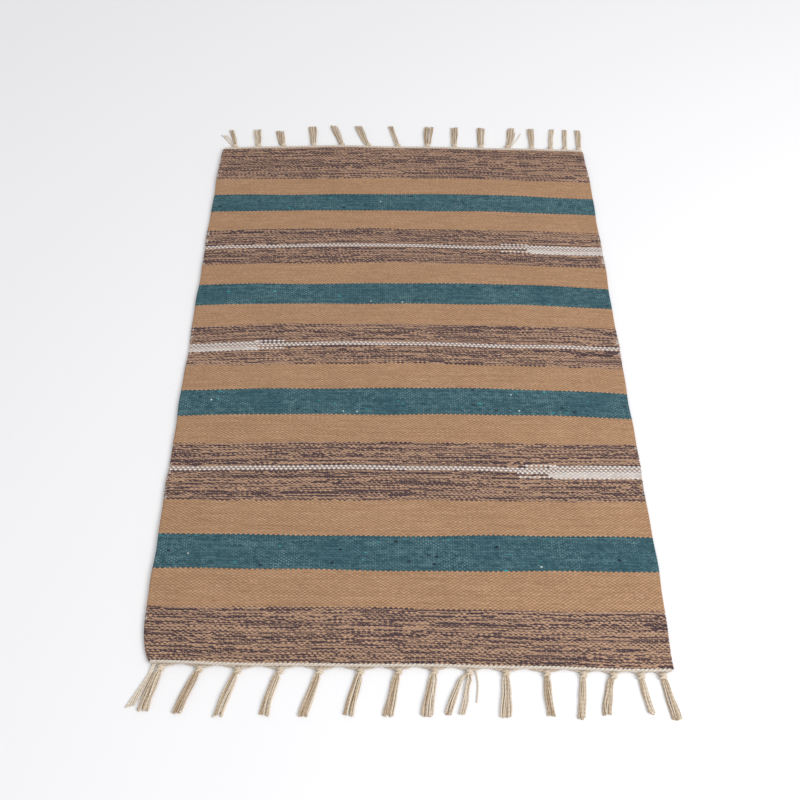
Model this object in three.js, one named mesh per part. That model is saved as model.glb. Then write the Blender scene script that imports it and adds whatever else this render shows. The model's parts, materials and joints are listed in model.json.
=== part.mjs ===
// A hand-woven cotton mat: coloured weft bands beaten over a hidden warp, a twined
// cord along each end, and the warp ends gathered into knotted tassels.
//
// Millimetres, +Z up. The mat lies flat, face up, with its length along Y. The origin
// is on its underside, at the middle of the weave. "Near" is the -Y end.
import * as THREE from 'three';

// ---- Driving sizes ----

const weaveWidth = 600;
const clothThickness = 4;
const weftCover = 1.1; // weft over each face of the warp, and round each selvedge
const touchGap = 0.3; // between two pieces that touch
const halfGap = touchGap / 2;

// The cross stripes, from the near end to the far end: the yarn and the stripe's width.
const stripes = [
  ['melange', 68], ['tan', 49.5], ['teal', 47], ['tan', 50],
  ['melange', 87.5], ['tan', 45], ['teal', 43.5], ['tan', 42.5],
  ['melange', 73.5], ['tan', 39.5], ['teal', 40.5], ['tan', 42],
  ['melange', 74], ['tan', 41.5], ['teal', 38.5], ['tan', 38.5],
  ['melange', 76.5],
];

// Two white picks cross three of the melange stripes: the stripe's number among its own
// kind, and the distance from its near edge to the middle of the white picks.
const whiteWeftWidth = 6.6;
const whiteWefts = new Map([[2, 48], [3, 36], [4, 37]]);

// The mat folds in half across its middle melange stripe, this far from its near edge.
const foldStripe = 3;
const foldPlace = 15.75;

const headingWidth = 3.6;
const headingHeight = 3.6;
const headingCorner = 1.1;

// A tassel: a short root at the heading, the knot, the neck under it, the skirt's tip.
const rootLength = 0.4;
const rootWidth = 3.2;
const rootHeight = 3.6;
const knotWidth = 8.4;
const knotHeight = 6.4;
const neckWidth = 5;
const neckHeight = 4.6;
const tipHeight = 3.4;
// Where the knot is girthed, from its middle, and its girth there. All are shares of the
// knot's width, or of its height.
const knotShoulder = { at: 0.32, width: 0.8, height: 0.9 };
const knotMouth = { at: 0.4, width: 0.78, height: 0.88 };
const neckAt = 0.75;
const tasselSides = 8;

// The tassels of each end, from -X to +X: place across the mat as a share of half its
// width, lean towards +X in degrees, reach from the heading, and width across the tip.
const nearTassels = [
  [-0.907, -20, 51, 24], [-0.765, -21, 54, 12], [-0.623, -19, 55, 13],
  [-0.467, -15, 54.5, 12], [-0.321, -18, 55, 13], [-0.171, -14, 54, 12],
  [-0.030, -12, 55, 12], [0.103, -10, 55, 12.5], [0.232, -17, 52, 20],
  [0.367, -3, 54, 14], [0.518, 1, 52, 9], [0.654, -8, 53.5, 9],
  [0.764, -15, 48, 10], [0.866, 9, 46, 7], [0.947, 10, 53.5, 11],
];
const farTassels = [
  [-0.925, -18, 48, 18], [-0.796, -8, 48, 12], [-0.660, -11, 43, 13],
  [-0.493, -6, 54, 14], [-0.337, -18, 56, 12], [-0.192, -20, 56, 13],
  [-0.030, -14, 56, 9], [0.133, 3, 56, 16], [0.283, 2, 56, 13],
  [0.428, 2, 56, 11], [0.575, 10, 56, 13], [0.710, 2, 56, 12],
  [0.813, 7, 56, 8], [0.892, 5, 56, 8], [0.967, 4, 56, 9],
];

const yarnColours = {
  melange: 0x84705f,
  tan: 0xab896c,
  teal: 0x42606a,
  white: 0xe1dcd7,
  cream: 0xcdbfa6,
};

// ---- Worked-out places ----

const weaveLength = stripes.reduce((sum, [, width]) => sum + width, 0);
const weaveEnd = weaveLength / 2;
const headingOuterFace = weaveEnd + halfGap + headingWidth;

// ---- Shape helpers ----

// A bar along Y from y0 to y1 with the shape's outline in the XZ plane.
function barAlongY(outline, y0, y1) {
  const geometry = new THREE.ExtrudeGeometry(outline, {
    depth: y1 - y0, bevelEnabled: false, curveSegments: 6,
  });
  geometry.rotateX(Math.PI / 2);
  geometry.translate(0, y1, 0);
  return geometry;
}

// A bar across the whole width of the mat with the shape's outline in the YZ plane.
function barAcross(outline, length) {
  const geometry = new THREE.ExtrudeGeometry(outline, {
    depth: length, bevelEnabled: false, curveSegments: 3,
  });
  geometry.translate(0, 0, -length / 2);
  geometry.rotateY(Math.PI / 2);
  geometry.rotateX(Math.PI / 2);
  return geometry;
}

function rectangle(halfWidth, low, high, Path = THREE.Shape) {
  const path = new Path();
  path.moveTo(-halfWidth, low);
  path.lineTo(halfWidth, low);
  path.lineTo(halfWidth, high);
  path.lineTo(-halfWidth, high);
  path.closePath();
  return path;
}

// The section of a weft band: flat faces and round selvedges.
function clothOutline() {
  const radius = clothThickness / 2;
  const straight = weaveWidth / 2 - radius;
  const outline = new THREE.Shape();
  outline.moveTo(-straight, 0);
  outline.lineTo(straight, 0);
  outline.absarc(straight, radius, radius, -Math.PI / 2, Math.PI / 2, false);
  outline.lineTo(-straight, clothThickness);
  outline.absarc(-straight, radius, radius, Math.PI / 2, 3 * Math.PI / 2, false);
  return outline;
}

// ---- The weave ----

const mat = new THREE.Group();

function addPiece(name, geometry, yarn, parent = mat) {
  const material = new THREE.MeshStandardMaterial({
    color: yarnColours[yarn], roughness: 0.95, metalness: 0,
  });
  const piece = new THREE.Mesh(geometry, material);
  piece.name = name;
  parent.add(piece);
  return piece;
}

// A weft band is a flattened sleeve: its picks turn round the outermost warp ends at
// each selvedge, and the warp passes through it.
function weftSleeve(y0, y1) {
  const outline = clothOutline();
  const slotHalfWidth = weaveWidth / 2 - weftCover;
  outline.holes.push(
    rectangle(slotHalfWidth, weftCover, clothThickness - weftCover, THREE.Path),
  );
  return barAlongY(outline, y0 + halfGap, y1 - halfGap);
}

const seen = { melange: 0, tan: 0, teal: 0, white: 0 };
let edge = -weaveEnd;
let foldMiddle = 0;
for (const [yarn, width] of stripes) {
  seen[yarn] += 1;
  const name = `${yarn}_band_${seen[yarn]}`;
  const white = yarn === 'melange' ? whiteWefts.get(seen[yarn]) : undefined;
  if (white === undefined) {
    addPiece(name, weftSleeve(edge, edge + width), yarn);
  } else {
    const whiteNear = edge + white - whiteWeftWidth / 2;
    const whiteFar = whiteNear + whiteWeftWidth;
    if (seen[yarn] === foldStripe) {
      foldMiddle = edge + foldPlace;
      addPiece(`${name}_near`, weftSleeve(edge, foldMiddle), yarn);
      addPiece(`${name}_middle`, weftSleeve(foldMiddle, whiteNear), yarn);
    } else {
      addPiece(`${name}_near`, weftSleeve(edge, whiteNear), yarn);
    }
    seen.white += 1;
    addPiece(`white_weft_${seen.white}`, weftSleeve(whiteNear, whiteFar), 'white');
    addPiece(`${name}_far`, weftSleeve(whiteFar, edge + width), yarn);
  }
  edge += width;
}

// The warp lies inside the weft from each end of the weave to the fold.
const warpOutline = rectangle(
  weaveWidth / 2 - weftCover - touchGap,
  weftCover + touchGap,
  clothThickness - weftCover - touchGap,
);
addPiece(
  'warp_near',
  barAlongY(warpOutline, halfGap - weaveEnd, foldMiddle - halfGap),
  'cream',
);
addPiece(
  'warp_far',
  barAlongY(warpOutline, foldMiddle + halfGap, weaveEnd - halfGap),
  'cream',
);

// ---- The ends ----

// A twined cord locks the last pick at each end. It has a rounded section.
function headingCord(end) {
  const corner = headingCorner;
  const middle = end * (headingOuterFace - headingWidth / 2);
  const low = middle - headingWidth / 2;
  const high = middle + headingWidth / 2;
  const outline = new THREE.Shape();
  outline.moveTo(low + corner, 0);
  outline.lineTo(high - corner, 0);
  outline.absarc(high - corner, corner, corner, -Math.PI / 2, 0, false);
  outline.absarc(high - corner, headingHeight - corner, corner, 0, Math.PI / 2, false);
  outline.absarc(low + corner, headingHeight - corner, corner, Math.PI / 2, Math.PI, false);
  outline.absarc(low + corner, corner, corner, Math.PI, 3 * Math.PI / 2, false);
  return barAcross(outline, weaveWidth);
}
addPiece('heading_near', headingCord(-1), 'cream');
addPiece('heading_far', headingCord(1), 'cream');

// A closed solid through a row of many-sided rings that all stand on z = 0. Each ring
// has a centre, a heading angle from +Y, a width across and a height.
function loft(rings) {
  const sides = tasselSides;
  const flat = Math.cos(Math.PI / sides);
  const positions = [];
  const index = [];
  for (const { x, y, angle, width, height } of rings) {
    for (let i = 0; i < sides; i += 1) {
      const a = (i + 0.5) * 2 * Math.PI / sides;
      const across = width / 2 * Math.cos(a) / flat;
      positions.push(
        x + across * Math.cos(angle),
        y - across * Math.sin(angle),
        height / 2 * (1 + Math.sin(a) / flat),
      );
    }
  }
  for (let r = 0; r + 1 < rings.length; r += 1) {
    for (let i = 0; i < sides; i += 1) {
      const j = (i + 1) % sides;
      const [a, b, c, d] = [r * sides + i, r * sides + j, (r + 1) * sides + i, (r + 1) * sides + j];
      index.push(a, c, b, b, c, d);
    }
  }
  const last = (rings.length - 1) * sides;
  for (let i = 1; i + 1 < sides; i += 1) {
    index.push(0, i, i + 1, last, last + i + 1, last + i);
  }
  const geometry = new THREE.BufferGeometry();
  geometry.setAttribute('position', new THREE.Float32BufferAttribute(positions, 3));
  geometry.setIndex(index);
  geometry.computeVertexNormals();
  return geometry;
}

// A tassel in its own frame: it leaves the heading at the origin, along +Y. Its knot sits
// straight out from the heading and its skirt of yarns leans away from there.
function tassel(lean, reach, tipWidth) {
  const knotMiddle = touchGap + rootLength + knotWidth / 2;
  const skirtLength = (reach - knotMiddle) / Math.cos(lean);
  const along = (distance, width, height) => ({
    x: distance * Math.sin(lean),
    y: knotMiddle + distance * Math.cos(lean),
    angle: lean,
    width,
    height,
  });
  const straight = (y, width, height) => ({ x: 0, y, angle: 0, width, height });
  const skirt = (share) => along(
    THREE.MathUtils.lerp(knotWidth * neckAt, skirtLength, share),
    THREE.MathUtils.lerp(neckWidth, tipWidth, share),
    THREE.MathUtils.lerp(neckHeight, tipHeight, share),
  );
  return loft([
    straight(touchGap, rootWidth, rootHeight),
    straight(
      knotMiddle - knotWidth * knotShoulder.at,
      knotWidth * knotShoulder.width,
      knotHeight * knotShoulder.height,
    ),
    straight(knotMiddle, knotWidth, knotHeight),
    along(knotWidth * knotMouth.at, knotWidth * knotMouth.width, knotHeight * knotMouth.height),
    skirt(0),
    skirt(0.5),
    skirt(1),
  ]);
}

function addFringe(endName, end, tassels) {
  tassels.forEach(([place, leanDegrees, reach, tipWidth], i) => {
    const lean = end * THREE.MathUtils.degToRad(leanDegrees);
    const holder = new THREE.Group();
    holder.position.set(place * weaveWidth / 2, end * headingOuterFace, 0);
    holder.rotation.z = end > 0 ? 0 : Math.PI;
    const number = String(i + 1).padStart(2, '0');
    addPiece(`${endName}_tassel_${number}`, tassel(lean, reach, tipWidth), 'cream', holder);
    mat.add(holder);
  });
}
addFringe('near', -1, nearTassels);
addFringe('far', 1, farTassels);

export default mat;
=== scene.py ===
"""A hand-woven cotton mat: weft-faced cross stripes, twined headings and knotted tassels.

Metres, +Z up. The mat lies flat with its length along Y, and "near" is the -Y end.
"""
import json
import math

import bpy
import numpy as np
from mathutils import Matrix, Vector
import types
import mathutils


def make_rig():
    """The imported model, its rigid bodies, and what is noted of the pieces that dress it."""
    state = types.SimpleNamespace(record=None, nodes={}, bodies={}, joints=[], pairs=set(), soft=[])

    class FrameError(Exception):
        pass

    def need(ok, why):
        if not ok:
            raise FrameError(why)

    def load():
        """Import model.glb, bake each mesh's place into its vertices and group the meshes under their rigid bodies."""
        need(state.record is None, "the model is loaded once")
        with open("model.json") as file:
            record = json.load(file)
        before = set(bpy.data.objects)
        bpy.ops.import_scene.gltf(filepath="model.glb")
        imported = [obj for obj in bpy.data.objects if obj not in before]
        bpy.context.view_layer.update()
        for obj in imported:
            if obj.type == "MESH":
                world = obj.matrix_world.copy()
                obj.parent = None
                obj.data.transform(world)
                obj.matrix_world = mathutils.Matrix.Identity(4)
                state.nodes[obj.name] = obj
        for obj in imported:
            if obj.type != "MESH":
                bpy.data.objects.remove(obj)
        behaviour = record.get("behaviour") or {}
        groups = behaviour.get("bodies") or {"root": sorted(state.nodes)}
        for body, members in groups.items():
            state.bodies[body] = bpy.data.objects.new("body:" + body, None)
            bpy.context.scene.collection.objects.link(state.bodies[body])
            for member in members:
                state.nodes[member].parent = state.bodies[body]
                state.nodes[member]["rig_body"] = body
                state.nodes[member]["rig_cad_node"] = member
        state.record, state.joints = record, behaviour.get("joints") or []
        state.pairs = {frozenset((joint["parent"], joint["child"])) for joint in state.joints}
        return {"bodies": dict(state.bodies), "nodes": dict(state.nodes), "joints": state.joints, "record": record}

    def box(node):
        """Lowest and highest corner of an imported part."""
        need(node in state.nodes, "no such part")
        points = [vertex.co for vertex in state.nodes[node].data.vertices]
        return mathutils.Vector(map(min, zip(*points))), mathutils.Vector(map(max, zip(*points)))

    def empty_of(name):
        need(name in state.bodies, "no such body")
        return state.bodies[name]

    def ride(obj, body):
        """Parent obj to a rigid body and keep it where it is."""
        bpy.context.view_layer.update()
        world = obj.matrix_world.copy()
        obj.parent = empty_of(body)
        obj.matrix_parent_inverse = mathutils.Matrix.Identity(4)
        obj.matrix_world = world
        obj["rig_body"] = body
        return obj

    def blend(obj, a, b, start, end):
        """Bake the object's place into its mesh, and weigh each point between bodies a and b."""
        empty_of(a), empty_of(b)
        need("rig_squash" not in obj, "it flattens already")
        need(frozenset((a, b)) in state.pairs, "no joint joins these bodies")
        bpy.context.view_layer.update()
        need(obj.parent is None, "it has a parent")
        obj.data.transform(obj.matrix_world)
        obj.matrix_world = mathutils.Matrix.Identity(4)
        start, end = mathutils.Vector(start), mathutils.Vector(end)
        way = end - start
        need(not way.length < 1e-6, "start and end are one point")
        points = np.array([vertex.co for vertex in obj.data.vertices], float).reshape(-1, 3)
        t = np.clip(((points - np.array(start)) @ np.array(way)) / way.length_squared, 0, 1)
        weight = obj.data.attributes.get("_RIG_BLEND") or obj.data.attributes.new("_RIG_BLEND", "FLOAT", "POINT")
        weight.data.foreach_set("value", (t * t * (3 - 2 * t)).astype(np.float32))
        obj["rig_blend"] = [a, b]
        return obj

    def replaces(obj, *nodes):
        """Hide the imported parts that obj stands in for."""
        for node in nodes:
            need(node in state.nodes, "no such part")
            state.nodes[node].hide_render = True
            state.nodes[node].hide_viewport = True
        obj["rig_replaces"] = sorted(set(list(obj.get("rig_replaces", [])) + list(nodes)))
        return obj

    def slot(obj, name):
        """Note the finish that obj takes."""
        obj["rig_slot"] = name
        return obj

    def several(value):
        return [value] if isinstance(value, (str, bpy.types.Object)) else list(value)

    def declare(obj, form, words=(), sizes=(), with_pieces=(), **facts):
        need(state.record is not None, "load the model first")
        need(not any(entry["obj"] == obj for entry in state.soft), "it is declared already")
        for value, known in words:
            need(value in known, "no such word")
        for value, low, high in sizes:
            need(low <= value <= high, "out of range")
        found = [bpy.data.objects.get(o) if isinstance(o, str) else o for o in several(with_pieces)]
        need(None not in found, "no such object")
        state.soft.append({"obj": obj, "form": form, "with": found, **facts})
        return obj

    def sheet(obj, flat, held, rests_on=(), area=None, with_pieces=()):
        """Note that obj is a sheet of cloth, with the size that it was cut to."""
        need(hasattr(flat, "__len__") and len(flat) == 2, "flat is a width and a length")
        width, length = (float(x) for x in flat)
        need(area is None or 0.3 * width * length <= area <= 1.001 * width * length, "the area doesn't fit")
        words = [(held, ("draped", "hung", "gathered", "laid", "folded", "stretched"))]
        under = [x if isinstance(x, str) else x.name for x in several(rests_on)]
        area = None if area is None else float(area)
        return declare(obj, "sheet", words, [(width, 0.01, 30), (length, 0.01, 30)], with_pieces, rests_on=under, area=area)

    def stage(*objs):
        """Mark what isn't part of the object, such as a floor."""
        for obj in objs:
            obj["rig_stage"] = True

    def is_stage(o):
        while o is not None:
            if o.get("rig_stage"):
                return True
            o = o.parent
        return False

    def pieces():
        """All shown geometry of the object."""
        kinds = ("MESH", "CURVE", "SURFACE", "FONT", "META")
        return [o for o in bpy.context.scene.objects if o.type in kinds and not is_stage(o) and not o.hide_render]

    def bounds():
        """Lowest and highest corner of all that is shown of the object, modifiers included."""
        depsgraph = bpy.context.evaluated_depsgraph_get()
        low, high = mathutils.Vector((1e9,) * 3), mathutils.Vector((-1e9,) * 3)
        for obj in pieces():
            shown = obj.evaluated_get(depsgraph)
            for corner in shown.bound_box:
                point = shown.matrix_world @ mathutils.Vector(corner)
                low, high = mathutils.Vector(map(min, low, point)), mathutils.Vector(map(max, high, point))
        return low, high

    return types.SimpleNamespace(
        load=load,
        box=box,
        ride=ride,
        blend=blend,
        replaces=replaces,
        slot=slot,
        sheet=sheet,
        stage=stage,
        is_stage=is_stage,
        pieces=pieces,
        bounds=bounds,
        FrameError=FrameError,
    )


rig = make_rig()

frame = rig.load()
cad_low, cad_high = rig.bounds()
MM = 0.001


# ---------------------------------------------------------------------------------------
# The tan stripes. Each is one cotton yarn woven straight across and beaten down until it
# hides the warp: a brickwork of beads, one where the yarn passes over every second warp
# end. The other stripes are woven in the same way, from other yarns.
# ---------------------------------------------------------------------------------------

CLOTH_LOW = 0.05 * MM
CLOTH_HIGH = 4.1 * MM
BEAD_RELIEF = 1.5 * MM
BEAD_FALL = 0.6  # how much of the relief is lost at a bead's end, and at its side
COLUMNS_PER_RIB = 3
RIBS_AROUND = 398  # warp ends across both faces and round both selvedges
PICK_SPACING = {"tan": 1.88 * MM, "teal": 2.05 * MM, "melange": 2.1 * MM, "white": 3.3 * MM}
INTERLOCK = 0.7 * MM  # how far one stripe's last beads reach between the next one's first
HAIRLINE = 0.04 * MM  # left free at each end of a stripe

# How far the real cloth strays from a flat, square one.
BOW = 2.5 * MM
SLOPE = 3.6 * MM
WAVE = 0.8 * MM
RIPPLE = 0.4 * MM
NEAR_LEFT_CORNER = 9.5 * MM
NEAR_LEFT_SIDE = 2.5 * MM
NEAR_RIGHT_CORNER = 2.5 * MM
FAR_CORNERS = 3 * MM
SELVEDGE_WAVER = 0.6 * MM
SWELL = 0.35 * MM

body_of = {}  # the moving body that each CAD piece belongs to
for body, members in frame["record"]["behaviour"]["bodies"].items():
    for member in members:
        body_of[member] = body

strip_nodes = sorted(
    (n for n in frame["nodes"] if "_band_" in n or n.startswith("white_weft")),
    key=lambda n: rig.box(n)[0].y,
)
half_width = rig.box("tan_band_1")[1].x
weave_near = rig.box(strip_nodes[0])[0].y
weave_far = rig.box(strip_nodes[-1])[1].y


def ramp(value, low, high):
    """0 below low, 1 above high, and a smooth S between them."""
    share = np.clip((value - low) / (high - low), 0, 1)
    return share * share * (3 - 2 * share)


def lie(points):
    """Where a point of the flat, square cloth really lies. The stripes bow towards the far
    end in the middle and waver a little, the near end slopes, the ends are drawn in, most
    at the near left corner, the selvedges waver, and the cloth has shallow swells that
    never go below z."""
    x, y, z = points[..., 0], points[..., 1], points[..., 2]
    side = x / half_width
    bow = BOW * ramp(y, -0.23, -0.05) * (1 - 3 * side**2)
    slope = -SLOPE * ramp(-y, 0.23, 0.45) * side
    wave = WAVE * np.sin(x * 15 + y * 31 + 2) + RIPPLE * np.sin(x * 43 - y * 57)
    to_near = y - weave_near
    to_far = weave_far - y
    left = NEAR_LEFT_CORNER * np.exp(-np.maximum(to_near, 0) / 0.016)
    left = left + NEAR_LEFT_SIDE * np.exp(-to_near / 0.09)
    right = NEAR_RIGHT_CORNER * np.exp(-np.maximum(to_near, 0) / 0.05)
    both = FAR_CORNERS * np.exp(-np.maximum(to_far, 0) / 0.06)
    waver_left = SELVEDGE_WAVER * (np.sin(y * 41 + 1) + 0.6 * np.sin(y * 97))
    waver_right = SELVEDGE_WAVER * (np.sin(y * 37 + 4) + 0.6 * np.sin(y * 89 + 2))
    pull = np.where(side < 0, -(left + both + waver_left), right + both + waver_right)
    swell = SWELL * (2 + np.sin(x * 31 + y * 9 + 1) + np.sin(y * 27 - x * 13))
    return np.stack([x - pull * np.abs(side) ** 3, y + bow + slope + wave, z + swell], axis=-1)


def make_mesh(name, points, quads, uv_maps=(), attributes=()):
    """A mesh from whole arrays: points (n, 3), quads (m, 4), UV maps (m, 4, 2) and point
    attributes (n,)."""
    mesh = bpy.data.meshes.new(name)
    mesh.vertices.add(len(points))
    mesh.vertices.foreach_set("co", np.ascontiguousarray(points, np.float32).ravel())
    mesh.loops.add(quads.size)
    mesh.loops.foreach_set("vertex_index", np.ascontiguousarray(quads, np.int32).ravel())
    mesh.polygons.add(len(quads))
    mesh.polygons.foreach_set("loop_start", np.arange(0, quads.size, 4, dtype=np.int32))
    mesh.polygons.foreach_set("use_smooth", np.ones(len(quads), bool))
    for label, uv in dict(uv_maps).items():
        layer = mesh.uv_layers.new(name=label)
        layer.uv.foreach_set("vector", np.ascontiguousarray(uv, np.float32).ravel())
    for label, values in dict(attributes).items():
        layer = mesh.attributes.new(label, "FLOAT", "POINT")
        layer.data.foreach_set("value", np.ascontiguousarray(values, np.float32).ravel())
    mesh.update(calc_edges=True)
    mesh.validate()
    piece = bpy.data.objects.new(name, mesh)
    bpy.context.scene.collection.objects.link(piece)
    return piece


def cloth_section(share):
    """A point of the flattened ring round the cloth's section, at a share of the way
    round from the middle of the left selvedge over the face, and its outward normal."""
    radius = (CLOTH_HIGH - CLOTH_LOW) / 2
    middle = (CLOTH_HIGH + CLOTH_LOW) / 2
    flat = half_width - radius
    quarter = math.pi * radius / 2
    along = (share % 1.0) * (4 * flat + 4 * quarter)
    under = along > 2 * flat + 2 * quarter
    along = np.where(under, 4 * flat + 4 * quarter - along, along)
    run = np.clip(along - quarter, 0, 2 * flat)
    turn_left = np.clip(along / quarter, 0, 1) * math.pi / 2
    turn_right = np.clip((along - quarter - 2 * flat) / quarter, 0, 1) * math.pi / 2
    normal_x = np.where(along < quarter, -np.cos(turn_left), np.sin(turn_right))
    normal_z = np.where(along < quarter, np.sin(turn_left), np.cos(turn_right))
    normal_z = np.where(under, -normal_z, normal_z)
    x = run - flat + radius * normal_x
    z = middle + radius * normal_z
    return x, z, normal_x, normal_z


def bead_height(ribs, picks):
    """How high the weave stands at a place counted in ribs and picks: 1 on the crest of a
    bead, less towards its ends and sides. The beads lie where ribs + picks is even, and
    the height is the product of a parabola along the bead and one across it."""
    s, t = (ribs + picks) / 2, (ribs - picks) / 2
    ds, dt = s - np.round(s), t - np.round(t)
    return (1 - BEAD_FALL * (ds + dt) ** 2) * (1 - BEAD_FALL * (ds - dt) ** 2)


def strip_faces(rows, columns):
    """The faces of a closed strip made of rings. The walls join each point to the next in
    its ring and to the same ones in the next ring. The lids bridge the first and the last
    ring from the face to the underside. The walls' corners come as rows and columns too,
    with the columns counted on past the last."""
    r, c = np.meshgrid(np.arange(rows - 1), np.arange(columns), indexing="ij")
    corner_row = np.stack([r, r, r + 1, r + 1], axis=-1).reshape(-1, 4)
    corner_column = np.stack([c, c + 1, c + 1, c], axis=-1).reshape(-1, 4)
    walls = corner_row * columns + corner_column % columns
    i = np.arange(columns // 2 - 1)
    lid = np.stack([i, columns - 1 - i, columns - 2 - i, i + 1], axis=-1)
    lids = np.concatenate([lid, lid[:, ::-1] + (rows - 1) * columns])
    return walls, lids, corner_row, corner_column


def strip_layout(corner_row, corner_column, lids, rows, columns):
    """The strip laid out flat with no overlap: four quarters of the ring one above the
    other, each with a small margin, and the halves of the two lids above them."""
    side_margin, margin = 0.004, 0.02
    height = 4.2  # in quarters: the four of them, and a fifth of one for the lids
    quarter = (corner_column[:, :1] * 4) // columns
    across = (corner_column * 4) / columns - quarter
    ring_x = side_margin + (1 - 2 * side_margin) * across
    ring_y = (quarter + margin + (1 - 2 * margin) * corner_row / (rows - 1)) / height
    place = lids % columns
    lid_x = 2 * np.minimum(place, columns - 1 - place) / columns
    lid_y = 0.955 + 0.025 * (lids // columns > 0) + 0.015 * (place >= columns // 2)
    return np.concatenate([np.stack([ring_x, ring_y], axis=-1), np.stack([lid_x, lid_y], axis=-1)])


def woven_strip(name, y0, y1, first_pick, picks, finer=1):
    """A closed strip of cloth from y0 to y1: the ring of cloth_section() carried along the
    picks, sunk by what bead_height() leaves, with the end rows interlocked with the next
    strip's. finer is the number of rows for each pick, 1 or an even number. Its Weave map
    counts ribs and picks."""
    columns = RIBS_AROUND * COLUMNS_PER_RIB
    column = np.arange(columns) + 0.5
    x, z, normal_x, normal_z = cloth_section(column / columns)
    ribs = column / COLUMNS_PER_RIB - 0.5
    start, stop = first_pick - 0.5, first_pick + picks - 0.5
    if finer == 1:
        pick = np.concatenate([[start], np.arange(picks) + first_pick, [stop]])
    else:
        pick = start + np.arange(picks * finer + 1) / finer
    rib_grid, pick_grid = np.meshgrid(ribs, pick)
    share = (pick_grid - first_pick + 0.5) / picks
    y = y0 + HAIRLINE + share * (y1 - y0 - 2 * HAIRLINE)
    for end in (start, stop):
        near_end = np.clip(1 - 2 * np.abs(pick_grid - end), 0, 1)
        y += near_end * INTERLOCK * np.cos(math.pi * (rib_grid - end + 0.5))
    sunk = BEAD_RELIEF * (1 - bead_height(rib_grid, pick_grid))
    points = lie(np.stack([x - normal_x * sunk, y, z - normal_z * sunk], axis=-1))

    walls, lids, corner_row, corner_column = strip_faces(len(pick), columns)
    wall_ribs = (corner_column + 0.5) / COLUMNS_PER_RIB - 0.5
    wall_weave = np.stack([wall_ribs, pick[corner_row]], axis=-1)
    lid_weave = np.stack([ribs[lids % columns], pick[lids // columns]], axis=-1)
    uv_maps = {
        "Weave": np.concatenate([wall_weave, lid_weave]),
        "OFBake": strip_layout(corner_row, corner_column, lids, len(pick), columns),
    }
    return make_mesh(name, points.reshape(-1, 3), np.concatenate([walls, lids]), uv_maps)


class Wire:
    """A value on its way through a finish. An expression on it adds Math nodes."""

    def __init__(self, look, socket):
        self.look = look
        self.socket = socket

    def math(self, operation, *others):
        return self.look.math(operation, self, *others)

    def __add__(self, other):
        return self.math("ADD", other)

    def __sub__(self, other):
        return self.math("SUBTRACT", other)

    def __mul__(self, other):
        return self.math("MULTIPLY", other)

    def __truediv__(self, other):
        return self.math("DIVIDE", other)

    def __rsub__(self, other):
        return self.look.math("SUBTRACT", other, self)

    def __rtruediv__(self, other):
        return self.look.math("DIVIDE", other, self)

    def __gt__(self, other):
        return self.math("GREATER_THAN", other)

    def __lt__(self, other):
        return self.math("LESS_THAN", other)

    def __abs__(self):
        return self.math("ABSOLUTE")

    __radd__ = __add__
    __rmul__ = __mul__

    def between(self, low, high):
        """0 at low and 1 at high, clamped and smooth."""
        return self.look.node(
            "ShaderNodeMapRange",
            {"interpolation_type": "SMOOTHSTEP"},
            {"Value": self, "From Min": low, "From Max": high},
        )


def linear(red, green, blue):
    """A screen colour, 0 to 255, as the linear colour that a shader takes."""
    share = np.array([red, green, blue]) / 255
    value = np.where(share <= 0.04045, share / 12.92, ((share + 0.055) / 1.055) ** 2.4)
    return (*value.tolist(), 1.0)


class Look:
    """A finish: one material with its shader, and the method that makes its nodes."""

    def __init__(self, name, roughness, sheen):
        self.material = bpy.data.materials.new(name)
        self.material.use_nodes = True
        self.tree = self.material.node_tree
        self.shader = self.tree.nodes["Principled BSDF"]
        self.shader.inputs["Roughness"].default_value = roughness
        self.shader.inputs["Specular IOR Level"].default_value = 0.2
        self.shader.inputs["Sheen Weight"].default_value = sheen
        self.shader.inputs["Sheen Roughness"].default_value = 0.5

    def node(self, kind, settings=(), inputs=(), output=0):
        """A new node with its settings, then the values or wires of its inputs."""
        made = self.tree.nodes.new(kind)
        for key, value in dict(settings).items():
            setattr(made, key, value)
        for key, value in dict(inputs).items():
            self.feed(made.inputs[key], value)
        return Wire(self, made.outputs[output])

    def feed(self, socket, value):
        if isinstance(value, Wire):
            self.tree.links.new(value.socket, socket)
        else:
            socket.default_value = value

    def math(self, operation, *values):
        return self.node("ShaderNodeMath", {"operation": operation}, dict(enumerate(values)))

    def join(self, x, y=0.0, z=0.0):
        return self.node("ShaderNodeCombineXYZ", inputs={0: x, 1: y, 2: z})

    def split(self, vector):
        first = self.node("ShaderNodeSeparateXYZ", inputs={0: vector})
        return [Wire(self, output) for output in first.socket.node.outputs]

    def noise(self, vector, scale, detail=2.0, size="3D"):
        return self.node(
            "ShaderNodeTexNoise",
            {"noise_dimensions": size},
            {"Vector": vector, "Scale": scale, "Detail": detail},
        )

    def chance(self, x, y=0.0):
        """A random number from 0 to 1 for each pair of whole numbers."""
        vector = self.join(x + 0.5, y + 0.5)
        return self.node("ShaderNodeTexWhiteNoise", {"noise_dimensions": "2D"}, {"Vector": vector})

    def mix(self, factor, first, second, blend="MIX"):
        settings = {"data_type": "RGBA", "blend_type": blend, "clamp_factor": True}
        return self.node("ShaderNodeMix", settings, {0: factor, 6: first, 7: second}, output=2)

    def grey(self, value):
        """A number as a grey, to multiply a colour by."""
        return self.node("ShaderNodeCombineColor", inputs={0: value, 1: value, 2: value})

    def finish(self, colour, height, distance, strength=1.0):
        """Feeds the shader its colour and a relief of a height times a distance."""
        bump = self.node(
            "ShaderNodeBump",
            inputs={"Height": height, "Distance": distance, "Strength": strength},
        )
        self.feed(self.shader.inputs["Base Color"], colour)
        self.feed(self.shader.inputs["Normal"], bump)
        return self.material


FIBRE_STRETCH = (1.6, 7.0, 1.0)


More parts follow.
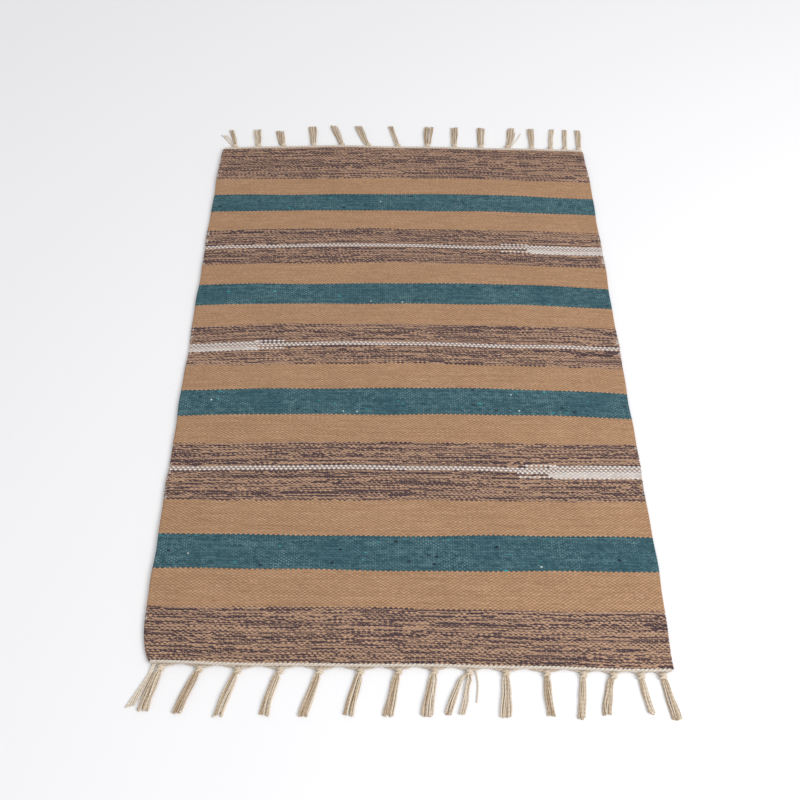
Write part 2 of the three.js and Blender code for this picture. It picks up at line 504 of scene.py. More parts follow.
class Weave(Look):
    """A woven finish. It finds the bead that a point lies in: the whole rib and pick of its
    middle, and the place along and across it from there."""

    def __init__(self, name, roughness=0.95, sheen=0.03):
        super().__init__(name, roughness, sheen)
        self.uv = self.node("ShaderNodeUVMap", {"uv_map": "Weave"})
        ribs, picks, _ = self.split(self.uv)
        s, t = (ribs + picks) * 0.5, (ribs - picks) * 0.5
        s_whole, t_whole = (s + 0.5).math("FLOOR"), (t + 0.5).math("FLOOR")
        self.rib, self.pick = s_whole + t_whole, s_whole - t_whole
        self.along, self.across = ribs - self.rib, picks - self.pick
        to_right, to_left = abs(s - s_whole) * 2, abs(t - t_whole) * 2
        self.edge = to_right.math("MAXIMUM", to_left)
        # The rim of each bead, where the relief sinks between beads; weave_finish paints shade into the colour there.
        self.crease = self.edge.between(0.62, 1.0)
        self.corner = to_right.math("MINIMUM", to_left).between(0.45, 0.75)
        self.luck = self.chance(self.rib, self.pick)
        # Fibres and the two plies of the yarn, both slanting along the bead.
        stretched = self.node(
            "ShaderNodeVectorMath", {"operation": "MULTIPLY"}, {0: self.uv, 1: FIBRE_STRETCH}
        )
        self.fibre = self.noise(stretched, 2.2, 3.0, "2D")
        turn = (self.along * 1.4 + self.across * 0.9 + self.luck) * (2 * math.pi)
        self.ply = turn.math("SINE")
        self.slanted = self.across + self.along * 0.14
        place = self.node("ShaderNodeTexCoord", output="Object")
        self.cloud = self.noise(place, 14.0, 2.0)

    def strand(self, seed, thinnest, thickest):
        """1 where one of the pick's thin strands shows. It lies along the bead, and each few
        centimetres it rolls to another place across the pick, and shows more or less."""
        drift = self.noise(self.join(self.rib * 0.11, self.pick * 17.37 + seed), 1.0, 1.0, "2D")
        run = (self.rib * 0.05 + self.chance(self.pick + seed) * 40 + drift * 4).math("FLOOR")
        roll = self.node(
            "ShaderNodeTexWhiteNoise",
            {"noise_dimensions": "2D"},
            {"Vector": self.join(run + seed + 0.5, self.pick + 0.5)},
            output=1,
        )
        side, size, _ = self.split(roll)
        place = (side - 0.5) * 1.9 + (self.luck - 0.5) * 0.4
        width = size * (thickest - thinnest) + thinnest
        return 1 - abs(self.slanted - place).between(width, width + 0.16)

    def weave_finish(self, colour, spread=0.16, crease_shade=0.42):
        """The yarn's colour with each bead a little lighter or darker, painted shade in the creases between beads and
        a faint painted light and shade along the plies.
        """
        tone = (self.luck - 0.5) * spread + (self.fibre - 0.5) * 0.34 + (self.cloud - 0.5) * 0.16
        # Painted shade: the colour darkens towards each bead's rim by the last argument's share. The plies add a faint
        # painted light and shade.
        tone = (tone + self.ply * 0.035 + 1.04) * (1 - self.crease * crease_shade)
        shaded = self.mix(1.0, colour, self.grey(tone), "MULTIPLY")
        height = self.fibre * 0.5 + self.ply * 0.16 - self.crease * 0.7
        return self.finish(shaded, height, 0.5 * MM, 0.75)


TAN = linear(187, 147, 113)
TAN_LIGHT = linear(202, 163, 131)
TAN_DEEP = linear(158, 114, 84)

tan = Weave("tan_cotton")
tan_slub = tan.noise(tan.join(tan.rib * 0.06, tan.pick * 3.7), 1.0, 1.0, "2D")
tan_colour = tan.mix(tan_slub.between(0.5, 0.8) * 0.7, TAN, TAN_LIGHT)
tan_colour = tan.mix(tan.strand(3, 0.0, 0.3) * 0.5, tan_colour, TAN_DEEP)
tan_colour = tan.mix(tan.strand(8, 0.0, 0.3) * 0.5, tan_colour, TAN_LIGHT)
tan_look = tan.weave_finish(tan_colour)

# Each stripe's two ends, its first pick, its number of picks, and the CAD pieces that it
# takes the place of. Stripes meet halfway across the gap between their CAD pieces. The
# middle melange stripe runs through the fold, so its two CAD pieces are one cloth.
FOLD_CLOTH = ("melange_band_3_near", "melange_band_3_middle")
strips = {}
edge = weave_near
pick_count = 0
waiting = []
for node, following in zip(strip_nodes, strip_nodes[1:] + [None]):
    waiting.append(node)
    if node == FOLD_CLOTH[0]:
        continue
    end = weave_far if following is None else (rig.box(node)[1].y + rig.box(following)[0].y) / 2
    yarn = node.split("_")[0]
    picks = round((end - edge) / PICK_SPACING[yarn])
    strips[node] = (edge, end, pick_count, picks, tuple(waiting))
    edge = end
    pick_count += picks
    waiting = []


def weave_strip(node, look, slot, finer=1):
    """Makes one stripe's cloth in the place of its CAD piece, and says what it is."""
    y0, y1, first, picks, replaced = strips[node]
    piece = woven_strip(f"{node}_cloth", y0, y1, first, picks, finer)
    piece.data.materials.append(look)
    if node != FOLD_CLOTH[1]:
        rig.ride(piece, body_of[node])
    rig.replaces(piece, *replaced)
    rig.slot(piece, slot)
    return piece


def declare_cloth(node, with_pieces=()):
    """Says that a stripe is a sheet as wide as the mat and as long as the stripe is."""
    y0, y1 = strips[node][:2]
    flat = (2 * half_width, y1 - y0)
    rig.sheet(cloths[node], flat=flat, held="laid", with_pieces=list(with_pieces))


cloths = {}
for node in strips:
    if node.startswith("tan_band"):
        cloths[node] = weave_strip(node, tan_look, "tan_weft")
        declare_cloth(node)


# ---------------------------------------------------------------------------------------
# The teal stripes. Here and there the teal yarn isn't beaten down quite so hard, and the
# undyed warp peeps through between the beads. The yarn has a few bright slubs and specks.
# ---------------------------------------------------------------------------------------

TEAL = linear(54, 90, 101)
TEAL_LIGHT = linear(76, 112, 120)
TEAL_PEEK = linear(168, 190, 188)
TEAL_SLUB = linear(58, 165, 172)
TEAL_SPECK = linear(30, 42, 52)
TEAL_NEP = linear(222, 232, 230)

teal = Weave("teal_cotton")
teal_colour = teal.mix(teal.strand(2, 0.0, 0.5), TEAL, TEAL_LIGHT)
teal_patch = teal.cloud.between(0.25, 0.6)
teal_peek = teal.corner * teal_patch * teal.fibre.between(0.3, 0.55) * teal.luck.between(0.05, 0.9)
teal_colour = teal.mix(teal_peek, teal_colour, TEAL_PEEK)
teal_slub = teal.chance(teal.rib + 700, teal.pick)
teal_colour = teal.mix((teal_slub > 0.993) * teal.strand(5, 0.05, 0.4), teal_colour, TEAL_SLUB)
teal_colour = teal.mix((teal_slub < 0.004) * 0.8, teal_colour, TEAL_SPECK)
teal_nep = (abs(teal_slub - 0.5) < 0.0006) * (1 - teal.edge.between(0.3, 0.7))
teal_colour = teal.mix(teal_nep * 0.9, teal_colour, TEAL_NEP)
teal_look = teal.weave_finish(teal_colour, 0.3, 0.3)

for node in strips:
    if node.startswith("teal_band"):
        cloths[node] = weave_strip(node, teal_look, "teal_weft")
        declare_cloth(node)


# ---------------------------------------------------------------------------------------
# The melange stripes. Each pick is a few thin strands laid side by side, tan and dark
# purple-brown, which roll over one another, so thin dark dashes come and go. Beside each
# white line some white picks reach in from one selvedge, and end in a ragged step.
# ---------------------------------------------------------------------------------------

MELANGE_TAN = linear(186, 152, 129)
MELANGE_DARK = linear(56, 44, 60)
WHITE = linear(221, 214, 210)

# For each white line: the selvedge that the patch starts from (1 right, -1 left), how many
# picks are white near that selvedge below and above the line, and the picks, counted from
# the line's first, that run on further in. A patch ends at a distance from the middle.
PATCHES = {
    "white_weft_1": (1, 5, 1, (-4, -1, 3)),
    "white_weft_2": (-1, 3, 1, (-2, 3)),
    "white_weft_3": (1, 4, 1, (-3, 3)),
}
PATCH_END = {"white_weft_1": 184 * MM, "white_weft_2": 204 * MM, "white_weft_3": 186 * MM}
RUN_ON = 38 * MM
RUN_OVER = RUN_ON / 9  # how far a run-on pick reaches back into the patch
RAGGED = 9 * MM
SELVEDGE = 4 * MM

melange = Weave("melange_cotton")
second = melange.strand(4, -0.2, 0.42) * 0.9
dark = melange.strand(1, 0.06, 0.54).math("MAXIMUM", second)
melange_colour = melange.mix(melange.fibre * 0.5, MELANGE_TAN, TAN)
melange_colour = melange.mix(dark * 0.92, melange_colour, MELANGE_DARK)
across_mat, _, _ = melange.split(melange.node("ShaderNodeTexCoord", output="Object"))
ragged = (melange.chance(melange.pick + 40) - 0.5) * RAGGED
is_white = 0.0
for node, (side, below, above, long_picks) in PATCHES.items():
    first, picks = strips[node][2:4]
    from_middle = across_mat * side + ragged
    place = melange.pick - first
    patch_end = PATCH_END[node]
    rows = (place > -below - 0.5) * (place < picks + above - 0.5)
    is_white = rows * (from_middle > patch_end) + is_white
    for pick in long_picks:
        reach = (from_middle > patch_end - RUN_ON) * (from_middle < patch_end + RUN_OVER)
        is_white = is_white + reach * (abs(place - pick) < 0.5)
is_white = is_white.between(0.0, 1.0)
selvedge = (abs(across_mat) > half_width - SELVEDGE) * (melange.luck > 0.72) * 0.5
melange_colour = melange.mix(is_white.math("MAXIMUM", selvedge), melange_colour, WHITE)
thin_tan = melange.strand(9, -0.3, 0.16).math("MAXIMUM", melange.crease * 0.7)
melange_colour = melange.mix(is_white * thin_tan * 0.6, melange_colour, TAN)
# Less painted shade in the beads' rims where the picks are white.
melange_look = melange.weave_finish(melange_colour, 0.2, 0.38 - is_white * 0.2)

fold_node = FOLD_CLOTH[1]
FOLD_REACH = 4 * MM
for node in strips:
    if node.startswith("melange_band"):
        finer = 4 if node == fold_node else 1
        cloths[node] = weave_strip(node, melange_look, "melange_weft", finer)
fold = next(j for j in frame["joints"] if j["name"] == "centre_fold")
fold_y = fold["pos_m"][1]
fold_start, fold_end = (0, fold_y - FOLD_REACH, 0), (0, fold_y + FOLD_REACH, 0)
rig.blend(cloths[fold_node], "near_half", "far_half", start=fold_start, end=fold_end)


# ---------------------------------------------------------------------------------------
# The white lines. Each is two picks of a thicker, soft white yarn, whose beads stand a
# little higher and lock together like a chain.
# ---------------------------------------------------------------------------------------

WHITE_LIGHT = linear(236, 231, 228)
WHITE_DEEP = linear(216, 206, 198)
BETWEEN_WHITE = linear(150, 120, 104)

white = Weave("white_cotton", sheen=0.1)
white_colour = white.mix(white.luck * 0.6, WHITE_LIGHT, WHITE_DEEP)
white_gap = abs(white.slanted).between(0.15, 0.34).math("MAXIMUM", white.edge.between(0.6, 0.9))
white_colour = white.mix(white_gap * 0.8, white_colour, BETWEEN_WHITE)
white_look = white.weave_finish(white_colour, 0.1, 0.3)

for node in strips:
    if node.startswith("white_weft"):
        cloths[node] = weave_strip(node, white_look, "white_weft", 2)


# ---------------------------------------------------------------------------------------
# The warp. About two hundred thin undyed cotton cords run the mat's whole length inside
# the weft. They show only where they leave it at the two ends.
# ---------------------------------------------------------------------------------------

CORD_SIDES = 6
WARP_RADIUS = 0.55 * MM
WARP_EACH_SIDE = 98  # cords on each side of the one in the middle
WARP_DRAW_IN = 0.995
RIB_PITCH = 2 * (2 * half_width + (math.pi - 2) * (CLOTH_HIGH - CLOTH_LOW) / 2) / RIBS_AROUND
ROW_MARGIN = 0.08
WALL_SHARE = 0.96  # of a row, and the rest is for the cord's ends

rng = np.random.default_rng(7)


def cord_maps(paths):
    """Two maps of the faces of cords(). The first counts turns round the cord and metres
    along it. The second lays the cords out flat, each in a row of its own with a margin:
    the wall, and to the right of it the two faces of the start and the two of the end."""
    count, steps = paths.shape[:2]
    stretches = np.diff(paths, axis=1, prepend=paths[:, :1])
    length = np.cumsum(np.linalg.norm(stretches, axis=-1), axis=1)
    sides = np.arange(CORD_SIDES)
    k, j, i = np.meshgrid(np.arange(count), np.arange(steps - 1), sides, indexing="ij")
    turn = np.stack([i, i, i + 1, i + 1], axis=-1) / CORD_SIDES
    here, there = length[k, j], length[k, j + 1]
    metres = np.stack([here, there, there, here], axis=-1)
    wall = np.stack([turn, metres], axis=-1).reshape(-1, 4, 2)
    ends = np.zeros((4 * count, 4, 2))
    ends[2 * count:, :, 1] = np.repeat(length[:, -1], 2)[:, None]

    share = metres / length[k, -1][..., None]
    wall_up = k[..., None] + ROW_MARGIN + (1 - 2 * ROW_MARGIN) * turn
    wall_row = np.stack([WALL_SHARE * share, wall_up], axis=-1).reshape(-1, 4, 2)
    face = np.arange(4 * count)[:, None]
    at_end, cord, half = face // (2 * count), face % (2 * count) // 2, face % 2
    wide, high = 0.014, 0.4
    gap_x, gap_y = 0.004, 0.02
    left = WALL_SHARE + 0.005 + (wide + gap_x) * at_end
    low = cord + ROW_MARGIN + (high + gap_y) * half
    ends_x = left + wide * np.array([0, 1, 1, 0])
    ends_y = low + high * np.array([0, 0, 1, 1])
    row_map = np.concatenate([wall_row, np.stack([ends_x, ends_y], axis=-1)])
    return np.concatenate([wall, ends]), row_map


def cords(paths, radii, reference):
    """Closed round cords along paths (cords, steps, 3), with a radius at each step and a
    reference direction for each step that the path never follows. Each step has a ring of
    CORD_SIDES points square to the path, and two faces fill each end."""
    count, steps = paths.shape[:2]
    tangent = np.gradient(paths, axis=1)
    tangent /= np.linalg.norm(tangent, axis=-1, keepdims=True)
    side = np.cross(tangent, np.broadcast_to(reference, paths.shape))
    side /= np.linalg.norm(side, axis=-1, keepdims=True)
    up = np.cross(side, tangent)
    angle = 2 * math.pi * np.arange(CORD_SIDES) / CORD_SIDES
    ring = side[:, :, None] * np.cos(angle)[:, None] + up[:, :, None] * np.sin(angle)[:, None]
    radii = np.broadcast_to(radii, (count, steps))
    points = paths[:, :, None] + ring * radii[:, :, None, None]

    sides = np.arange(CORD_SIDES)
    k, j, i = np.meshgrid(np.arange(count), np.arange(steps - 1), sides, indexing="ij")
    here = (k * steps + j) * CORD_SIDES
    there = here + CORD_SIDES
    turned = (i + 1) % CORD_SIDES
    walls = np.stack([here + i, there + i, there + turned, here + turned], axis=-1)
    last = CORD_SIDES - 1
    fill = np.array([[0, 1, last - 1, last], [1, 2, last - 2, last - 1]])
    start = (np.arange(count) * steps * CORD_SIDES)[:, None, None] + fill
    end = start[:, :, ::-1] + (steps - 1) * CORD_SIDES
    quads = np.concatenate([walls.reshape(-1, 4), start.reshape(-1, 4), end.reshape(-1, 4)])
    return points.reshape(-1, 3), quads


def cord_piece(name, bundles):
    """One piece from several lots of cords: (paths, radii, reference, shade of each cord)."""
    points, quads, turns, row_maps, shades = [], [], [], [], []
    start = row = 0
    for paths, radii, reference, shade in bundles:
        bundle_points, bundle_quads = cords(paths, radii, reference)
        turn_map, row_map = cord_maps(paths)
        points.append(bundle_points)
        quads.append(bundle_quads + start)
        turns.append(turn_map)
        row_maps.append(row_map + (0, row))
        shades.append(np.repeat(shade, paths.shape[1] * CORD_SIDES))
        start += len(bundle_points)
        row += len(paths)
    return make_mesh(
        name,
        np.concatenate(points),
        np.concatenate(quads),
        {"Cord": np.concatenate(turns), "OFBake": np.concatenate(row_maps) / (1, row)},
        {"Shade": np.concatenate(shades)},
    )


def cord_finish(name, dark, light, plies, lay):
    """Plied cotton: light and shade follow the plies round the cord, one turn in lay
    metres, with fibres along them, and each cord has its own shade."""
    look = Look(name, roughness=0.95, sheen=0.15)
    uv = look.node("ShaderNodeUVMap", {"uv_map": "Cord"})
    turn, metres, _ = look.split(uv)
    shade = look.node("ShaderNodeAttribute", {"attribute_name": "Shade"}, output="Fac")
    ply = abs(((turn * plies + metres / lay) * math.pi).math("SINE"))
    along = look.join(turn * 9 + metres * 1800, metres * 160, shade * 50)
    fibre = look.noise(along, 1.0, 2.0)
    tone = look.mix(shade * 0.85 + (fibre - 0.5) * 0.5, dark, light)
    groove = 0.76 + ply.between(0.05, 0.55) * 0.25
    colour = look.mix(1.0, tone, look.grey(groove), "MULTIPLY")
    return look.finish(colour, ply + fibre * 0.3, 0.35 * MM, 0.8)


CREAM_DARK = linear(184, 158, 128)
CREAM_LIGHT = linear(240, 228, 210)
warp_look = cord_finish("warp_cotton", CREAM_DARK, CREAM_LIGHT, 2, 4 * MM)
UP = np.array([0.0, 0.0, 1.0])

warp_ends = np.arange(-WARP_EACH_SIDE, WARP_EACH_SIDE + 1) * RIB_PITCH
cloth_middle = (CLOTH_LOW + CLOTH_HIGH) / 2
# Even steps along each half, and ever shorter ones over the last part before the fold.
FOLD_PART = 0.08
to_fold = FOLD_PART * (np.linspace(1, 0, 9) ** 2)[1:]
steps_to_fold = np.concatenate([np.linspace(1, FOLD_PART, 8), to_fold])
for node, end_y in (("warp_near", weave_near), ("warp_far", weave_far)):
    y = fold_y + steps_to_fold * (end_y - fold_y)
    grid_x, grid_y = np.meshgrid(warp_ends * WARP_DRAW_IN, y, indexing="ij")
    paths = lie(np.stack([grid_x, grid_y, np.full_like(grid_x, cloth_middle)], axis=-1))
    shade = rng.random(len(warp_ends))
    piece = cord_piece(f"{node}_cords", [(paths, WARP_RADIUS, UP, shade)])
    piece.data.materials.append(warp_look)
    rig.replaces(piece, node)
    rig.slot(piece, "warp_yarn")
    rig.blend(piece, "near_half", "far_half", start=fold_start, end=fold_end)


# ---------------------------------------------------------------------------------------
# The headings. Two cords twined round the warp ends lock the last pick. Outside them the
# warp ends turn along the edge and gather towards the nearest knot.
# ---------------------------------------------------------------------------------------

HEADING_DARK = linear(200, 182, 162)
HEADING_LIGHT = linear(226, 217, 206)
TWINE_RADIUS = 1.3 * MM
TWINE_SWING = 0.85 * MM
TWINE_PITCH = 10 * MM
TWINE_OUT = 1.2 * MM  # from the edge of the weave
TWINE_UP = 3.7 * MM
TWINE_STEPS = 700
TWINE_SHORT = 3 * MM  # left free at each selvedge
GATHER_RADIUS = 0.75 * MM
GATHER_STEPS = 12
GATHER_LIFT = (1.2, 2.6)  # lowest and highest, in mm
FAN_REACH = 20 * MM
heading_look = cord_finish("heading_cotton", HEADING_DARK, HEADING_LIGHT, 2, 5 * MM)

joint_of = {j["child"]: j for j in frame["joints"]}
tassel_nodes = {
    end: sorted(n for n in frame["nodes"] if n.startswith(f"{end}_tassel"))
    for end in ("near", "far")
}


def bezier(p0, p1, p2, p3, steps):
    """Cubic curves from p0 to p3, drawn towards p1 and p2, for whole arrays of points
    (curves, 3): each point is weighted by its Bernstein polynomial of t."""
    t = np.linspace(0, 1, steps)[None, :, None]
    p0, p1, p2, p3 = (p[:, None, :] for p in (p0, p1, p2, p3))
    return (1 - t) ** 3 * p0 + 3 * (1 - t) ** 2 * t * p1 + 3 * (1 - t) * t * t * p2 + t**3 * p3


headings = {}
for end, out in (("near", -1), ("far", 1)):
    low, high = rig.box(f"heading_{end}")
    inner_y = high.y if out < 0 else low.y
    # Two strands turn about each other along the edge of the weave, on its face side.
    x = np.linspace(-half_width + TWINE_SHORT, half_width - TWINE_SHORT, TWINE_STEPS)
    phase = 2 * math.pi * x / TWINE_PITCH
    twine = []
    for offset in (0, math.pi):
        y = inner_y + out * (TWINE_OUT + TWINE_SWING * np.cos(phase + offset))
        z = TWINE_UP + TWINE_SWING * np.sin(phase + offset)
        twine.append(np.stack([x, y, z], axis=-1))
    twine = lie(np.array(twine))
    # The warp ends: out of the weave, along its edge, and in to the root of the knot. The
    # further an end comes from, the further out it runs. The roots lie where the knots do.
    roots = np.array([joint_of[n]["pos_m"][0] for n in tassel_nodes[end]])
    ends = lie(np.stack([warp_ends, 0 * warp_ends + inner_y, 0 * warp_ends], axis=-1))
    nearest = roots[np.abs(ends[:, :1] - roots[None]).argmin(axis=1)]
    away = ends[:, 0] - nearest
    fan = np.abs(away) / FAN_REACH
    lift = rng.uniform(*GATHER_LIFT, len(ends)) * MM
    across = [ends[:, 0], ends[:, 0] - 0.1 * away, nearest + 0.45 * away, nearest + 0.06 * away]
    outward = [
        -2 * MM + 0 * fan,
        1.8 * MM + 1.4 * MM * fan,
        1.6 * MM + 2.4 * MM * fan,
        5 * MM + 0 * fan,
    ]
    height = [2 * MM + 0 * fan, lift, lift + 0.3 * MM, 2.4 * MM + 0.3 * (lift - 1.8 * MM)]
    control = [
        np.stack([a, ends[:, 1] + out * o, h], axis=-1)
        for a, o, h in zip(across, outward, height)
    ]
    gathers = bezier(*control, GATHER_STEPS)
    piece = cord_piece(
        f"heading_{end}_twining",
        [
            (twine, TWINE_RADIUS, UP, np.array([0.75, 0.95])),
            (gathers, GATHER_RADIUS, UP, rng.random(len(warp_ends)) * 0.7),
        ],
    )
    piece.data.materials.append(heading_look)
    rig.ride(piece, body_of[f"heading_{end}"])
    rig.replaces(piece, f"heading_{end}")
    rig.slot(piece, "heading_cord")
    headings[end] = piece


# ---------------------------------------------------------------------------------------
# The tassels. The gathered warp ends are tied in one tight knot against the heading, and
# run on as a skirt of limp plied yarns that lie on the floor and end unevenly.
# ---------------------------------------------------------------------------------------

YARN_RADIUS = 0.92 * MM
WRAP_RADIUS = YARN_RADIUS * 1.3
LOOSE_RADIUS = YARN_RADIUS * 0.9
YARNS = 12
KNOT_RADIUS = (4.4 * MM, 3.1 * MM, 3.0 * MM)  # across, up and along the tassel
KNOT_OUT = 4.2 * MM  # from the root to the knot's middle
KNOT_STEPS = 25
WRAP_PLACES = np.array([-0.62, -0.1, 0.3, 0.72])  # along the knot, from -1 to 1
WRAP_LEANS = np.array([0.1, 0.45, -0.5, 0.12])
NECK_HEIGHT = 2.3 * MM
NECK_RADIUS = (2.1 * MM, 1.5 * MM)  # across and up
TIP_LENGTH = 6 * MM  # the last part of a CAD tassel, whose width is the skirt's
LAYERS = (0.05 * MM, 1.35 * MM)  # every second yarn lies on top of its neighbours
SKIRT_STEPS = 20
tassel_look = cord_finish("tassel_cotton", CREAM_DARK, CREAM_LIGHT, 2, 5 * MM)

# How the skirts part: groups of yarns, each from one share of the half tip width to
# another. A tassel that isn't named has a single group.
PARTED = {
    "near_tassel_01": [(-0.9, 0.65, 14)],
    "near_tassel_03": [(-1.0, -0.2, 6), (0.2, 1.0, 7)],
    "near_tassel_06": [(-1.0, -0.1, 7), (0.3, 1.0, 6)],
    "near_tassel_09": [(-1.5, -0.8, 7), (0.3, 0.85, 5)],
    "near_tassel_11": [(-1.0, -0.3, 6), (0.2, 1.0, 7)],
    "far_tassel_01": [(0.0, 1.0, 9)],
    "far_tassel_03": [(-1.3, 0.9, 13)],
    "far_tassel_08": [(-1.0, -0.15, 7), (0.45, 1.0, 6)],
}
# Loose yarns beside a tassel: where the first starts and where it ends, from the knot's
# root, across and outwards, in mm, and how many there are.
LOOSE = {
    "near_tassel_01": [(-9, -1, -31, 49, 7)],
    "near_tassel_09": [(7, 1, 8, 38, 1)],
    "far_tassel_01": [(-3, 2, -24, 36, 3)],
    "far_tassel_11": [(2, 4, 17, 44, 2)],
}


def skirt(node, out, root):
    """The paths of a tassel's yarns, from its root through the knot to the tip. At the neck
    they fill a small disc. Towards the tip they sink and spread to the width of the CAD
    tip, and each one snakes a little on its own."""
    tip_points = np.array([v.co for v in frame["nodes"][node].data.vertices])
    reach = out * tip_points[:, 1]
    tip_points = tip_points[reach > reach.max() - TIP_LENGTH]
    tip = tip_points.mean(axis=0)
    half_tip = np.ptp(tip_points[:, 0]) / 2
    groups = PARTED.get(node, [(-1.0, 1.0, YARNS)])
    lane = np.concatenate([np.linspace(a, b, n) for a, b, n in groups])
    count = len(lane)
    t = np.linspace(0, 1, SKIRT_STEPS)[None]
    open_out = 0.66 * ramp(t, 0.08, 0.27) + 0.34 * ramp(t, 0.2, 1.0)
    spin = np.arange(count) * 2.4
    disc = np.sqrt((np.arange(count) + 0.5) / count)
    neck_x = NECK_RADIUS[0] * disc * np.cos(spin)
    neck_z = NECK_RADIUS[1] * disc * np.sin(spin)
    order = np.argsort(neck_x)
    neck_x, neck_z = neck_x[order], neck_z[order]
    tip_x = lane * (half_tip - YARN_RADIUS) + rng.normal(0, 0.5 * MM, count)
    tip_z = YARN_RADIUS + np.where(np.arange(count) % 2, LAYERS[1], LAYERS[0])
    middle_x = root[0] + (tip[0] - root[0]) * t + 0 * tip_x[:, None]
    sway = rng.normal(0, 1.2 * MM) * np.sin(math.pi * t)
    snake = rng.uniform(0.25, 0.75, (count, 1)) * MM * np.sin(
        t * rng.uniform(5, 11, (count, 1)) + rng.uniform(0, 6.28, (count, 1))
    )
    ends = 1 + rng.normal(0, 0.018, (count, 1)) - 0.02
    x = middle_x + sway + neck_x[:, None] * (1 - open_out)
    x = x + tip_x[:, None] * open_out + snake * open_out
    y = root[1] + (tip[1] - root[1]) * t * ends
    z = (NECK_HEIGHT + neck_z[:, None]) * (1 - open_out) + tip_z[:, None] * open_out
    z += 0.25 * MM * np.sin(t * 9 + spin[:, None]) * open_out
    z = np.maximum(z, YARN_RADIUS)
    return np.stack([x, y + 0 * x, z], axis=-1)


def loose_yarns(node, out, root):
    """Yarns that missed the knot. Each runs from its start to its end in mm with a lazy
    sine across it, and sinks from the edge of the weave to the floor."""
    paths = []
    for x0, y0, x1, y1, count in LOOSE.get(node, []):
        fan = np.linspace(0, 1, count)[:, None] if count > 1 else np.zeros((1, 1))
        t = np.linspace(0, 1, SKIRT_STEPS)[None]
        x = x0 + 4 * fan + (x1 - x0 + 3 * fan) * t + 1.5 * np.sin(t * 4 + fan * 5)
        y = y0 + (y1 - y0) * t * (1 - 0.06 * fan)
        z = 2.4 * (1 - ramp(t, 0, 0.25)) + YARN_RADIUS / MM * ramp(t, 0, 0.25) + 0.8 * fan * t
        local = np.stack([x * MM, out * y * MM, z * MM + 0 * x * MM], axis=-1)
        paths.append(local + np.array([root[0], root[1], 0]))
    return paths


def knot(out, root):
    """The tie: strands wound round the gathered yarns on an egg shape, each wrap a closed
    ellipse that leans a little, so that the wraps cross at the sides."""
    phi = np.linspace(0, 2 * math.pi, KNOT_STEPS)[None]
    girth = np.sqrt(1 - WRAP_PLACES**2)[:, None]
    x = (KNOT_RADIUS[0] - WRAP_RADIUS) * girth * np.cos(phi)
    z = (KNOT_RADIUS[1] - WRAP_RADIUS) * girth * np.sin(phi)
    along = KNOT_RADIUS[2] * WRAP_PLACES[:, None] + x * WRAP_LEANS[:, None]
    middle = root + np.array([0, out * KNOT_OUT, KNOT_RADIUS[1]])
    paths = np.stack([x, out * along, z], axis=-1) + middle
    reference = np.zeros_like(paths)
    reference[..., 1] = out
    return paths, reference


tassels = {"near": [], "far": []}
for end, out in (("near", -1), ("far", 1)):
    for node in tassel_nodes[end]:
        hinge = np.array(joint_of[node]["pos_m"])
        shift = (lie(hinge) - hinge) * (0, 1, 0)
        yarns = skirt(node, out, hinge) + shift
        wraps, wrap_reference = knot(out, hinge)
        yarn_radii = np.linspace(0.8, 1, SKIRT_STEPS) * YARN_RADIUS
        yarn_shades = rng.random(len(yarns))
        wrap_shades = rng.uniform(0.45, 0.85, len(wraps))
        bundles = [
            (yarns, yarn_radii, UP, yarn_shades),
            (wraps + shift, WRAP_RADIUS, wrap_reference, wrap_shades),
        ]
        for paths in loose_yarns(node, out, hinge):
            loose_shades = rng.uniform(0.8, 1.3, len(paths))
            bundles.append((paths + shift, LOOSE_RADIUS, UP, loose_shades))
        piece = cord_piece(f"{node}_yarns", bundles)
        piece.data.materials.append(tassel_look)
        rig.ride(piece, body_of[node])
        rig.replaces(piece, node)
        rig.slot(piece, "tassel_yarn")
        tassels[end].append(piece)

# The white lines, headings and tassels go with the melange cloth that they are fixed to.
trims = {
    "melange_band_1": [headings["near"], *tassels["near"]],
    "melange_band_2_near": [cloths["white_weft_1"]],
    fold_node: [cloths["white_weft_2"]],
    "melange_band_4_near": [cloths["white_weft_3"]],
    "melange_band_5": [headings["far"], *tassels["far"]],
}
for node in strips:
    if node.startswith("melange_band"):
        declare_cloth(node, trims.get(node, ()))


# ---------------------------------------------------------------------------------------
# The studio: a pale floor, a large soft light from the right, a soft fill all round, and
# the camera above the near end.
# ---------------------------------------------------------------------------------------

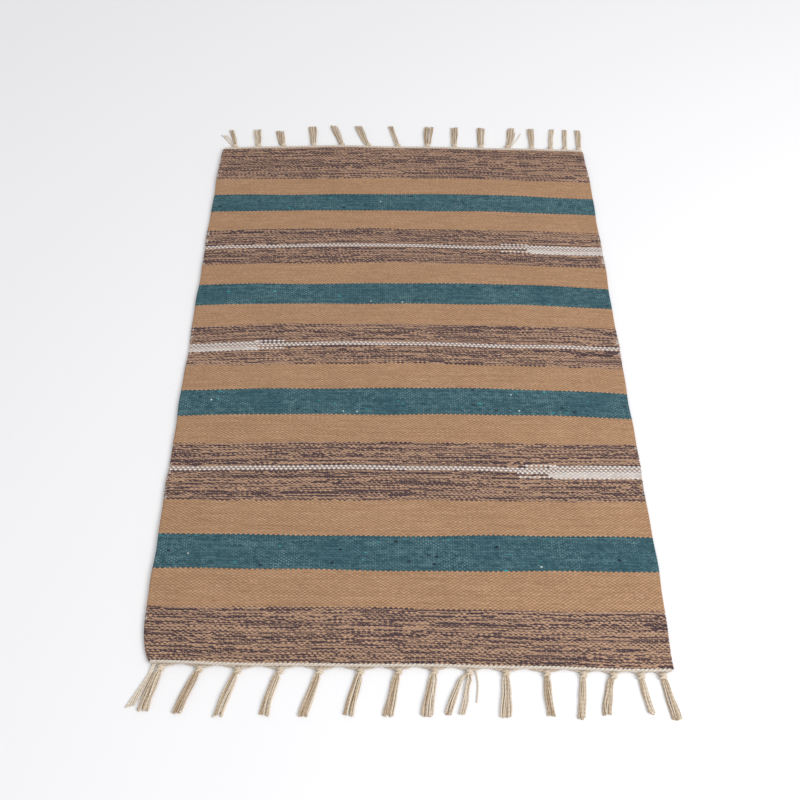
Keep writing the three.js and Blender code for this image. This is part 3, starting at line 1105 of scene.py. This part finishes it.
FLOOR_SIZE = 12.0
FLOOR_COLOUR = linear(250, 250, 252)
bpy.ops.mesh.primitive_plane_add(size=FLOOR_SIZE, location=(0, 0, 0))
floor = bpy.context.object
floor.name = "studio_floor"
floor_look = Look("pale_floor", roughness=0.9, sheen=0.0)
floor_look.shader.inputs["Base Color"].default_value = FLOOR_COLOUR
floor.data.materials.append(floor_look.material)
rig.stage(floor)

FILL_STRENGTH = 0.68
world = bpy.data.worlds.new("studio")
bpy.context.scene.world = world
world.use_nodes = True
background = world.node_tree.nodes["Background"]
background.inputs["Color"].default_value = (1.0, 1.0, 1.0, 1.0)
background.inputs["Strength"].default_value = FILL_STRENGTH

# A square light, turned to the middle of the mat.
LIGHT_PLACE = Vector((1.9, -1.2, 1.8))
LIGHT_SIZE = 1.4
LIGHT_WATTS = 46
window = bpy.data.lights.new("window_side", "AREA")
window.size = LIGHT_SIZE
window.energy = LIGHT_WATTS
window_holder = bpy.data.objects.new("window_side", window)
window_holder.location = LIGHT_PLACE
window_holder.rotation_euler = (-LIGHT_PLACE).to_track_quat("-Z", "Y").to_euler()
bpy.context.scene.collection.objects.link(window_holder)

LENS = 45.95
SENSOR_WIDTH = 36.0
CAMERA_PLACE = (-23.0 * MM, -912.8 * MM, 1079.9 * MM)
PITCH, YAW, ROLL = (math.radians(a) for a in (52.127, -1.114, 1.262))
camera_data = bpy.data.cameras.new("camera")
camera_data.lens = LENS
camera_data.sensor_width = SENSOR_WIDTH
camera = bpy.data.objects.new("camera", camera_data)
aim = Matrix.Rotation(YAW, 4, "Z") @ Matrix.Rotation(math.pi / 2 - PITCH, 4, "X")
camera.matrix_world = Matrix.Translation(CAMERA_PLACE) @ aim @ Matrix.Rotation(ROLL, 4, "Z")
bpy.context.scene.collection.objects.link(camera)
bpy.context.scene.camera = camera
bpy.context.scene.view_settings.view_transform = "Standard"

low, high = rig.bounds()
sizes = {"cad": [list(cad_low), list(cad_high)], "visual": [list(low), list(high)]}
with open("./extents.json", "w") as file:
    json.dump(sizes, file)
